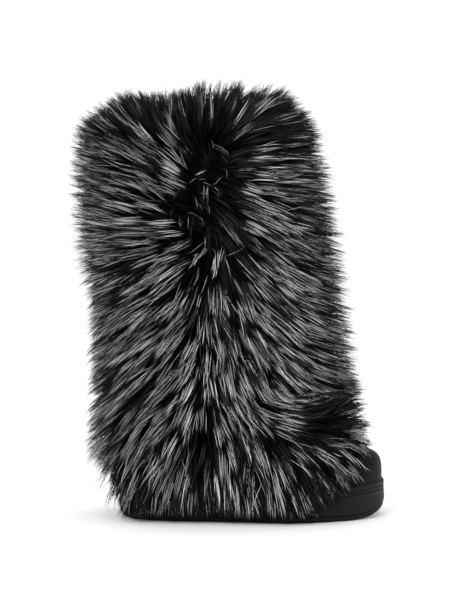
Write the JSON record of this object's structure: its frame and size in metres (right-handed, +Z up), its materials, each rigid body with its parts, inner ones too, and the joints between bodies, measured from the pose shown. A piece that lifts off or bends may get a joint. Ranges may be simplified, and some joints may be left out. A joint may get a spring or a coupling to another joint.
{
  "type": "sheepskin boot",
  "caption": "Calf-high sheepskin boot with deep combed fur outside, a bare suede toe, and a platform sole with a ribbed side.",
  "frame": {"origin": "on the floor, under the middle of the heel, on the flat face of a tread lug", "axes": "+X towards the toe, +Y to the wearer's left (the inner side of this right boot), +Z up"},
  "size_m": [0.3193, 0.1854, 0.4248],
  "materials": {
    "outsole": "matte black rubber",
    "midsole": "satin black foamed rubber",
    "foxing": "satin black rubber strip",
    "insole": "black wool felt",
    "upper": "black hide with a short lining",
    "toe_cap": "black suede",
    "pelt": "long dark fur with pale bands"
  },
  "bodies": {
    "root": {"outsole": "outsole", "midsole": "midsole", "foxing": "foxing", "insole": "insole", "upper": "upper", "toe_cap": "toe_cap", "pelt_back": "pelt", "pelt_front": "pelt"}
  },
  "joints": []
}
